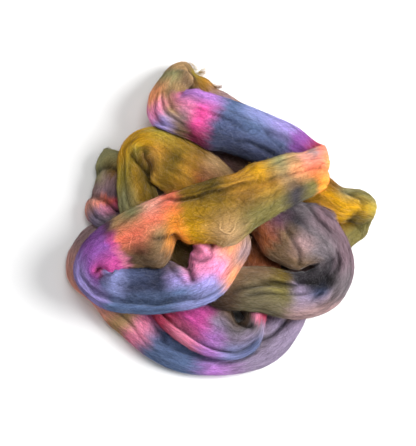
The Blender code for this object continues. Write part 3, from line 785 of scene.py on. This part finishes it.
def relief(arc, angle, length):
    """Height of the wool's relief over the skin, in mm, and how deep in a pleat each point lies (0 to 1)."""
    drift = field(WANDER.seed, WANDER.around, WANDER.along, length)(arc, angle) * WANDER.amount
    height = np.zeros_like(arc)
    for seed, (around, along_length, deep) in enumerate(PLEATS):
        height += deep * field(PLEAT_SEED + seed, around, along_length, length)(arc, angle + drift)
    pleat = np.zeros_like(arc)
    for seed, (around, along_length, deep, width) in enumerate(VALLEYS):
        value = field(VALLEY_SEED + seed, around, along_length, length)(arc, angle + drift)
        strength = np.clip(0.5 + field(STRENGTH_SEED + seed, 4, 60.0, length)(arc, angle), 0.0, 1.0)
        valley = np.exp(-(value / width) ** 2) * strength
        height -= deep * valley
        pleat = np.maximum(pleat, valley * deep / VALLEYS[0][2])
    return height, pleat


def segment_distance(x, y, start, end):
    """Distance of points from a straight piece of line."""
    run, rise = end[0] - start[0], end[1] - start[1]
    squared = max(run * run + rise * rise, 1e-6)
    share = np.clip(((x - start[0]) * run + (y - start[1]) * rise) / squared, 0.0, 1.0)
    return np.hypot(x - start[0] - share * run, y - start[1] - share * rise)


def band_colours(dyes):
    """Linear colours in even steps across a band whose dyes lie side by side and run into each other."""
    middles = (2.0 * np.arange(len(dyes)) + 1.0) / len(dyes) - 1.0
    steps = np.linspace(-1.0, 1.0, BAND_STEPS)
    colours = np.array([srgb_to_linear(PALETTE[dye]) for dye in dyes])
    return np.stack([np.interp(steps, middles, channel) for channel in colours.T], axis=-1)


class Strand:
    """The laid strand: its skin, and how to find a point, a direction or a dye on it."""

    def __init__(self):
        line, self.numbers, self.stations = middle_line()
        self.length = self.stations[-1]
        _, _, through = frames(line, self.numbers, self.stations)
        self.up = np.sign(through[:, 2])
        loose, up_side = loose_sections(line, self.numbers, self.stations)
        points = settle(loose, up_side, self.numbers, self.stations)
        spans = np.linalg.norm(points[:, 0] - points[:, SIDES // 2], axis=1)
        self.half_widths = np.maximum(spans / 2, LEAST_HALF_WIDTH)
        self.arc, self.angle = np.meshgrid(self.stations, section_angles(), indexing="ij")
        self.across_mm = soft_sign(np.cos(self.angle)) * self.half_widths[:, None]
        relief_height, pleat = relief(self.arc, self.angle, self.length)
        folds, swelling = self.folds_and_bulges(np.clip(up_side * 2.0 + 0.8, 0.0, 1.0))
        room = np.clip(self.half_widths / FULL_RELIEF, LEAST_RELIEF, 1.0)[:, None]
        height = relief_height * room - folds + swelling
        points = points + ring_normals(points) * height[..., None]
        points[..., 2] = np.maximum(points[..., 2], 0.0)
        self.points = points
        self.normals = ring_normals(points)
        # The skin's colours are the dyes darkened by painted shade deep in pleats and folds.
        painted_fold_shade = FOLD_SHADE * np.clip(folds / FOLD_SHADE_DEPTH, 0.0, 1.0)
        self.colours = self.dyes() * ((1.0 - PLEAT_SHADE * pleat) * (1.0 - painted_fold_shade))[..., None]

    def waver(self, kind):
        """Smooth random values at every point of the skin, up to the kind's amount either way."""
        return field(kind.seed, kind.around, kind.along, self.length)(self.arc, self.angle) * kind.amount

    def arc_of(self, run, place):
        """Arc length of a place of a pass."""
        return np.interp(first_place_of(run) + place, self.numbers, self.stations)

    def spot(self, run, place, share):
        """Arc length and across (mm) of a place given by pass, place number and share of half the width."""
        arc = self.arc_of(run, place)
        return arc, share * np.interp(arc, self.stations, self.half_widths)

    def skin_spot(self, run, place, share):
        """Arc length and angle on the upper side of the skin, of a place given as for spot()."""
        arc = self.arc_of(run, place)
        cosine = math.copysign(min(abs(share), 1.0) ** (1.0 / SECTION_POWER), share)
        return arc, math.acos(cosine) * self.up[np.searchsorted(self.stations, arc).clip(0, STATIONS - 1)]

    def folds_and_bulges(self, upper):
        """How deep the folds press in and how far the bulges swell out at each point, in mm."""
        wander = self.waver(FOLD_WANDER)
        pressed = np.zeros_like(self.arc)
        swelling = np.zeros_like(self.arc)
        for fold in FOLDS:
            spots = [self.spot(fold.run, *point) for point in fold.path]
            distance = np.min([segment_distance(self.arc, self.across_mm + wander, start, end)
                               for start, end in zip(spots[:-1], spots[1:])], axis=0)
            middle = (spots[0][0] + spots[-1][0]) / 2
            reach = abs(spots[-1][0] - spots[0][0]) / 2 + 3.0 * fold.half_wide
            fade = np.clip(1.0 - (np.abs(self.arc - middle) / reach) ** 4, 0.0, 1.0)
            pressed = np.maximum(pressed, fold.deep * np.exp(-(distance / fold.half_wide) ** 1.5) * fade)
        for bulge in BULGES:
            arc, across = self.spot(bulge.run, bulge.place, bulge.across)
            distance = np.hypot(self.arc - arc, self.across_mm - across)
            swelling += bulge.height * np.exp(-(distance / bulge.radius) ** 2)
        return pressed * upper, swelling * upper

    def dyes(self):
        """Linear colour of the dye at every point of the skin."""
        along = self.arc + self.waver(STREAK) + self.waver(CLOUD)
        across = self.across_mm + self.waver(DRIFT)
        share = np.clip(across / self.half_widths[:, None], -1.0, 1.0)
        bands = [(self.arc_of(name, place), band_colours(dyes))
                 for name, rows in DYES.items() for place, *dyes in rows]
        bands.sort(key=lambda band: band[0])
        colours = np.array([colour for _, colour in bands])
        row = np.interp(along, [arc for arc, _ in bands], np.arange(len(bands)))
        before = np.clip(row.astype(int), 0, len(bands) - 2)
        part = eased(row - before)[..., None]
        column = np.rint((share + 1.0) / 2.0 * (BAND_STEPS - 1)).astype(int)
        colour = colours[before, column] * (1.0 - part) + colours[before + 1, column] * part
        patchy = 1.0 + sum(self.waver(patch) for patch in PATCHES)
        return np.clip(colour * patchy[..., None], 0.0, 1.0)

    def read(self, values, arc, angle):
        """Values of the rings read smoothly at arc length (mm) and angle (radians)."""
        row = np.clip(arc / self.length * (STATIONS - 1), 0.0, STATIONS - 1.001)
        low = np.floor(row).astype(int)
        columns, part_column = round_the_section(angle, SIDES)
        return blended(values, (low, low + 1), columns, (row - low)[..., None], part_column[..., None])


def chart_of(arc, length):
    """Number of the length of strand that each arc length lies in."""
    return np.clip((arc / length * CHARTS).astype(int), 0, CHARTS - 1)


def chart_uv(arc, angle, chart, length):
    """Place on the colour map, where the lengths of strand lie side by side."""
    span = length / CHARTS
    u = (chart + CHART_EDGE + (1 - 2 * CHART_EDGE) * angle / (2 * math.pi)) / CHARTS
    v = CHART_EDGE + (1 - 2 * CHART_EDGE) * (arc - chart * span) / span
    return np.stack([np.clip(u, 0.0, 1.0), np.clip(v, 0.0, 1.0)], axis=-1)


def new_piece(name, vertices, faces, uv, dye, lay, material):
    """One mesh object that rides on the heap. Vertices in mm, faces as rows of corner numbers."""
    mesh = bpy.data.meshes.new(name)
    faces = np.asarray(faces, dtype=np.int32)
    corners = faces.shape[1]
    mesh.vertices.add(len(vertices))
    mesh.vertices.foreach_set("co", (np.asarray(vertices) * MM).ravel())
    mesh.loops.add(faces.size)
    mesh.loops.foreach_set("vertex_index", faces.ravel())
    mesh.polygons.add(len(faces))
    mesh.polygons.foreach_set("loop_start", np.arange(len(faces), dtype=np.int32) * corners)
    mesh.update(calc_edges=True)
    mesh.validate()
    layer = mesh.uv_layers.new(name="OFBake")
    layer.uv.foreach_set("vector", np.asarray(uv, dtype=np.float32).ravel())
    # The "dye" colour attribute holds the dye with the painted shade of pleats and folds, and for loose
    # fibres their tint.
    colours = mesh.color_attributes.new("dye", "FLOAT_COLOR", "POINT")
    colours.data.foreach_set("color", np.column_stack([dye, np.ones(len(dye))]).ravel())
    places = mesh.attributes.new("lay", "FLOAT_VECTOR", "POINT")
    places.data.foreach_set("vector", np.asarray(lay).ravel())
    mesh.shade_smooth()
    mesh.materials.append(material)
    piece = bpy.data.objects.new(name, mesh)
    bpy.context.scene.collection.objects.link(piece)
    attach(piece, "root")
    return piece


def ring_quads(rings, sides):
    """Corner numbers of the faces between rings of points."""
    rows = np.arange(rings - 1)[:, None]
    columns = np.arange(sides)[None, :]
    following = (columns + 1) % sides
    return np.stack([rows * sides + columns, rows * sides + following, (rows + 1) * sides + following,
                     (rows + 1) * sides + columns], axis=-1).reshape(-1, 4)


def strand_piece(strand, material):
    """The strand's skin as one closed mesh."""
    columns = np.arange(SIDES)[None, :]
    chart = chart_of(strand.stations[:-1], strand.length)[:, None, None]
    near, far = strand.stations[:-1, None, None], strand.stations[1:, None, None]
    step = 2 * math.pi / SIDES
    left = (columns * step)[..., None]
    right = left + step
    corner_arc = np.concatenate([near, near, far, far], axis=2) * np.ones((1, SIDES, 1))
    corner_angle = np.concatenate([left, right, right, left], axis=2) * np.ones((STATIONS - 1, 1, 1))
    uv = chart_uv(corner_arc, corner_angle, chart, strand.length).reshape(-1, 2)
    lay = np.stack([strand.arc, strand.angle * SKIN_RADIUS, np.zeros_like(strand.arc)], axis=-1)
    piece = new_piece("wool_strand", strand.points.reshape(-1, 3), ring_quads(STATIONS, SIDES), uv,
                      strand.colours.reshape(-1, 3), lay.reshape(-1, 3), material)
    close_ends(piece)
    return piece


def close_ends(piece):
    """A face over each end of the strand."""
    shape = bmesh.new()
    shape.from_mesh(piece.data)
    edges = [edge for edge in shape.edges if edge.is_boundary]
    bmesh.ops.holes_fill(shape, edges=edges, sides=0)
    bmesh.ops.recalc_face_normals(shape, faces=shape.faces)
    shape.to_mesh(piece.data)
    shape.free()
    piece.data.shade_smooth()


def exposed(strand, arc, angle):
    """Which points of the skin have free air over them and don't face the table."""
    coarse = strand.points[::2, ::2]
    quads = ring_quads(*coarse.shape[:2]).tolist()
    tree = BVHTree.FromPolygons([Vector(point) for point in coarse.reshape(-1, 3)], quads)
    points = strand.read(strand.points, arc, angle)
    normals = unit(strand.read(strand.normals, arc, angle))
    free = normals[:, 2] > FACES_DOWN
    for index in np.flatnonzero(free):
        start = Vector(points[index] + normals[index] * FREE_START)
        hit = tree.ray_cast(start, Vector(normals[index]), FREE_AIR)
        free[index] = hit[0] is None
    return free


def ribbons(name, strand, arc, angle, lift, kind, material, rng):
    """Fibres of a kind as thin ribbons. arc, angle and lift are one row for each fibre."""
    count, points_each = arc.shape
    width, tint = rng.uniform(*kind.width, count), rng.uniform(*kind.tint, count)
    pale = rng.uniform(*kind.pale, count) if any(kind.pale) else np.zeros(count)
    base = strand.read(strand.points, arc, angle)
    normals = unit(strand.read(strand.normals, arc, angle))
    middle = base + normals * lift[..., None]
    middle[..., 2] = np.maximum(middle[..., 2], LEAST_HEIGHT)
    ahead = unit(np.gradient(middle, axis=1))
    twist = rng.normal(0.0, 0.5, (count, 1, 1))
    across = unit(np.cross(ahead, normals))
    across = unit(across + np.cross(ahead, across) * twist)
    taper = np.sqrt(np.clip(np.sin(math.pi * np.linspace(0.04, 0.96, points_each)), 0.0, 1.0))
    half = (width[:, None] * taper[None, :] / 2)[..., None]
    both = np.stack([middle - across * half, middle + across * half], axis=2)
    first = (np.arange(count)[:, None] * points_each + np.arange(points_each - 1)[None, :]) * 2
    quads = np.stack([first, first + 1, first + 3, first + 2], axis=-1).reshape(-1, 4)
    # Fibres take the skin's colours, painted shade of pleats and folds included, times a tint, then mixed
    # with white.
    dye = strand.read(strand.colours, arc, angle) * tint[:, None, None]
    dye = np.clip(dye + (1.0 - dye) * pale[:, None, None], 0.0, 1.0)
    dye = np.repeat(dye[:, :, None, :], 2, axis=2).reshape(-1, 3)
    lay = np.stack([arc, angle * SKIN_RADIUS, lift], axis=-1)
    lay = np.repeat(lay[:, :, None, :], 2, axis=2).reshape(-1, 3)
    chart = chart_of(arc.mean(axis=1), strand.length)[:, None]
    turned = angle - 2 * math.pi * np.floor(angle[:, :1] / (2 * math.pi))
    spot = chart_uv(arc, turned, chart, strand.length)
    spots = np.stack([spot[:, :-1], spot[:, :-1], spot[:, 1:], spot[:, 1:]], axis=2)
    spots[:, :, 1:3, 0] += RIBBON_UV
    new_piece(name, both.reshape(-1, 3), quads, spots.reshape(-1, 2), dye, lay, material)


def along_fibre(kind):
    """Share of the way along a fibre at each of its points, as one row."""
    return np.linspace(0.0, 1.0, kind.points)[None, :]


def fibre_paths(rng, arc, angle, slope, kind, scale=1.0):
    """Arc lengths and angles along fibres that start at the given points of the skin."""
    count = len(arc)
    length = rng.uniform(*kind.length, count) * scale
    curl = rng.uniform(*kind.curl, count)
    run = length[:, None] * along_fibre(kind)
    wave = rng.uniform(*FIBRE_WAVE, (count, 1))
    phase = rng.uniform(0.0, 2 * math.pi, (count, 1))
    sway = curl[:, None] * np.sin(2 * math.pi * run / wave + phase)
    return (arc[:, None] + run * np.cos(slope)[:, None],
            angle[:, None] + (run * np.sin(slope)[:, None] + sway) / SKIN_RADIUS)


def starts(rng, strand, count):
    """Random exposed points of the skin."""
    arc = rng.uniform(2.0, strand.length - 6.0, count * TRIES)
    angle = rng.uniform(0.0, 2 * math.pi, count * TRIES)
    free = exposed(strand, arc, angle)
    return arc[free][:count], angle[free][:count]


def lay_fibres(strand, material):
    """Long fibres that lie along the skin, in pieces."""
    for number in range(LAY_PIECES):
        rng = np.random.default_rng(100 + number)
        arc, angle = starts(rng, strand, LAY_FIBRES)
        count = len(arc)
        crossed = rng.random(count) < CROSSED_SHARE
        slope = rng.normal(0.0, np.where(crossed, 0.9, 0.22))
        scale = np.where(crossed, CROSSED_LENGTH, 1.0)
        arcs, angles = fibre_paths(rng, arc, angle, slope, LAY, scale)
        hump = np.sin(math.pi * along_fibre(LAY))
        arch = rng.uniform(0.0, 0.45, (count, 1)) * hump
        lift = rng.uniform(0.02, 0.3, (count, 1)) + arch - 0.15 * (1 - hump)
        ribbons(f"lay_fibres_{number + 1}", strand, arcs, angles, lift, LAY, material, rng)


def fuzz(strand, material):
    """Short fibres that stand off the skin, in pieces; they gather at its edges into a soft rim, lightened by
    a painted highlight in their brighter, paler colour.
    """
    for number in range(FUZZ_PIECES):
        rng = np.random.default_rng(201 + number)
        arc, angle = starts(rng, strand, FUZZ_FIBRES)
        count = len(arc)
        slope = rng.normal(0.0, 0.55, count) + np.where(rng.random(count) < 0.5, 0.0, math.pi)
        arcs, angles = fibre_paths(rng, arc, angle, slope, FUZZ)
        height = rng.gamma(2.0, 0.45, (count, 1))
        lift = np.minimum(height, 3.0) * along_fibre(FUZZ) ** 1.3
        ribbons(f"fuzz_{number + 1}", strand, arcs, angles, lift, FUZZ, material, rng)


def flyaways(strand, material):
    """Single long hairs that arch away from the heap."""
    rng = np.random.default_rng(301)
    arc, angle = starts(rng, strand, FLYAWAYS)
    count = len(arc)
    slope = rng.normal(0.0, 0.8, count)
    arcs, angles = fibre_paths(rng, arc, angle, slope, FLYAWAY)
    share = along_fibre(FLYAWAY)
    free_end = rng.random((count, 1)) < 0.6
    height = rng.uniform(1.0, 5.0, (count, 1))
    lift = height * np.where(free_end, share ** 1.2, np.sin(math.pi * share))
    ribbons("flyaway_hairs", strand, arcs, angles, lift, FLYAWAY, material, rng)


def tufts(strand, material):
    """Wisps: locks of fibre that stand out from the skin and draw together to a tip."""
    rng = np.random.default_rng(401)
    share = along_fibre(TUFT)
    rows = []
    for tuft in TUFTS:
        arc, angle = strand.skin_spot(tuft.run, tuft.place, tuft.across)
        count = tuft.fibres
        narrow = 1.0 - (1.0 - TUFT_TIP) * share
        arcs = arc + rng.normal(0.0, tuft.spread / 2, (count, 1)) * narrow + tuft.lean * share ** 1.5
        sideways = rng.normal(0.0, tuft.spread / 2, (count, 1)) * narrow
        sideways = sideways + rng.normal(0.0, 0.8, (count, 1)) * np.sin(math.pi * share)
        lift = tuft.length * rng.uniform(0.5, 1.0, (count, 1)) * share - 0.5
        rows.append((arcs, angle + sideways / SKIN_RADIUS, lift))
    arcs, angles, lift = (np.concatenate(part) for part in zip(*rows))
    ribbons("tufts", strand, arcs, angles, lift, TUFT, material, rng)


def strays(strand, material):
    """Thin threads of a few fibres that have come loose and lie in loops on the skin."""
    rng = np.random.default_rng(501)
    share = along_fibre(STRAY)[0]
    rows = []
    for stray in STRAYS:
        spots = np.array([strand.skin_spot(stray.run, *point) for point in stray.path])
        steps = np.linspace(0.0, 1.0, len(spots))
        arc, angle = (smoothed(np.interp(share, steps, column), share, 0.08) for column in spots.T)
        for _ in range(stray.fibres):
            wave = 0.25 * np.sin(share * rng.uniform(20.0, 40.0) + rng.uniform(0.0, 6.0))
            rows.append((arc + wave + rng.normal(0.0, 0.15), angle + wave / SKIN_RADIUS,
                         0.2 + stray.lift * np.sin(math.pi * share) + rng.uniform(0.0, 0.3)))
    arcs, angles, lift = (np.array(part) for part in zip(*rows))
    ribbons("stray_threads", strand, arcs, angles, lift, STRAY, material, rng)


def new_node(tree, kind, inputs, **settings):
    """A new shader node, with its inputs set to values or linked to other nodes' outputs."""
    node = tree.nodes.new(kind)
    for name, value in settings.items():
        setattr(node, name, value)
    for name, value in inputs.items():
        if isinstance(value, bpy.types.NodeSocket):
            tree.links.new(value, node.inputs[name])
        else:
            node.inputs[name].default_value = value
    return node


def noise(tree, lay, along, scale, detail, distortion):
    """A noise pattern over the lay coordinates (mm), drawn out along the strand where along is below 1."""
    place = new_node(tree, "ShaderNodeVectorMath", {0: lay, 1: (along, 1.0, 1.0)}, operation="MULTIPLY")
    inputs = {"Vector": place.outputs[0], "Scale": scale, "Detail": detail, "Roughness": 0.65,
              "Distortion": distortion}
    return new_node(tree, "ShaderNodeTexNoise", inputs).outputs["Fac"]


def mapped(tree, value, low, high):
    """A noise value mapped from its usual range to low..high."""
    inputs = {"Value": value, "From Min": 0.3, "From Max": 0.7, "To Min": low, "To Max": high}
    return new_node(tree, "ShaderNodeMapRange", inputs).outputs["Result"]


def product(tree, first, second):
    """Two values multiplied."""
    return new_node(tree, "ShaderNodeMath", {0: first, 1: second}, operation="MULTIPLY").outputs[0]


def wool_material(name, bump, contrast, sheen):
    """Dyed wool: the dye, with painted shade in its pleats and folds, from the mesh, mottled like felted
    fibre, matt with a soft sheen.
    """
    material = bpy.data.materials.new(name)
    material.use_nodes = True
    tree = material.node_tree
    shader = tree.nodes["Principled BSDF"]
    dye = new_node(tree, "ShaderNodeAttribute", {}, attribute_name="dye").outputs["Color"]
    lay = new_node(tree, "ShaderNodeAttribute", {}, attribute_name="lay").outputs["Vector"]
    bundles = noise(tree, lay, along=0.22, scale=0.8, detail=3.0, distortion=1.4)
    felt = noise(tree, lay, along=0.45, scale=1.9, detail=4.0, distortion=1.6)
    broad = mapped(tree, bundles, 1.0 - 0.7 * contrast, 1.0 + 0.7 * contrast)
    value = product(tree, broad, mapped(tree, felt, 1.0 - contrast, 1.0 + contrast))
    colour = new_node(tree, "ShaderNodeVectorMath", {}, operation="SCALE")
    tree.links.new(dye, colour.inputs[0])
    tree.links.new(value, colour.inputs["Scale"])
    tree.links.new(colour.outputs[0], shader.inputs["Base Color"])
    tree.links.new(mapped(tree, felt, 0.95, 0.75), shader.inputs["Roughness"])
    if bump:
        inputs = {"Strength": 0.8, "Distance": 0.0008, "Height": product(tree, bundles, felt)}
        raised = new_node(tree, "ShaderNodeBump", inputs)
        tree.links.new(raised.outputs["Normal"], shader.inputs["Normal"])
    shader.inputs["Specular IOR Level"].default_value = 0.1
    shader.inputs["Sheen Weight"].default_value = sheen
    shader.inputs["Sheen Roughness"].default_value = 0.35
    shader.inputs["Subsurface Weight"].default_value = 0.06
    shader.inputs["Subsurface Radius"].default_value = (1.0, 0.8, 0.7)
    shader.inputs["Subsurface Scale"].default_value = 0.003
    return material


def table_and_light():
    """A plain pale table, a key lamp from the right, a weak one above and an even white surround."""
    floor_mesh = bpy.data.meshes.new("table_top")
    corners = [(x * TABLE_HALF, y * TABLE_HALF, 0) for x, y in ((-1, -1), (1, -1), (1, 1), (-1, 1))]
    floor_mesh.from_pydata(corners, [], [(0, 1, 2, 3)])
    floor = bpy.data.objects.new("table_top", floor_mesh)
    floor.location.z = -TABLE_DROP
    bpy.context.scene.collection.objects.link(floor)
    white = bpy.data.materials.new("table_white")
    white.use_nodes = True
    shader = white.node_tree.nodes["Principled BSDF"]
    shader.inputs["Base Color"].default_value = (0.93, 0.93, 0.93, 1.0)
    shader.inputs["Roughness"].default_value = 0.9
    shader.inputs["Specular IOR Level"].default_value = 0.1
    floor_mesh.materials.append(white)
    world = bpy.data.worlds.new("surround")
    bpy.context.scene.world = world
    world.use_nodes = True
    background = world.node_tree.nodes["Background"]
    background.inputs["Color"].default_value = (1.0, 1.0, 1.0, 1.0)
    background.inputs["Strength"].default_value = SURROUND
    for name, place, size, power in LAMPS:
        lamp = bpy.data.lights.new(name, "AREA")
        lamp.shape = "DISK"
        lamp.size = size
        lamp.energy = power
        thing = bpy.data.objects.new(name, lamp)
        thing.location = place
        thing.rotation_euler = (-Vector(place)).to_track_quat("-Z", "Y").to_euler()
        bpy.context.scene.collection.objects.link(thing)


def camera():
    """A camera high in front of the heap."""
    data = bpy.data.cameras.new("camera")
    data.sensor_fit = "VERTICAL"
    data.sensor_height = 36.0
    data.lens = CAMERA_LENS
    thing = bpy.data.objects.new("camera", data)
    rise = math.radians(CAMERA_ELEVATION)
    back = Vector((0.0, -math.cos(rise), math.sin(rise)))
    thing.location = Vector(CAMERA_TARGET) + back * CAMERA_DISTANCE
    thing.rotation_euler = (-back).to_track_quat("-Z", "Y").to_euler()
    bpy.context.scene.collection.objects.link(thing)
    bpy.context.scene.camera = thing


def main():
    """Build the strand and its loose wool."""
    camera()
    table_and_light()
    bpy.context.scene.view_settings.view_transform = "Standard"
    strand = Strand()
    skin_wool = wool_material("dyed_wool_skin", bump=True, contrast=0.38, sheen=0.3)
    skin = strand_piece(strand, skin_wool)
    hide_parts("roving")
    loose = wool_material("dyed_wool_fibres", bump=False, contrast=0.15, sheen=0.0)
    lay_fibres(strand, loose)
    fuzz(strand, loose)
    flyaways(strand, loose)
    tufts(strand, loose)
    strays(strand, loose)


main()
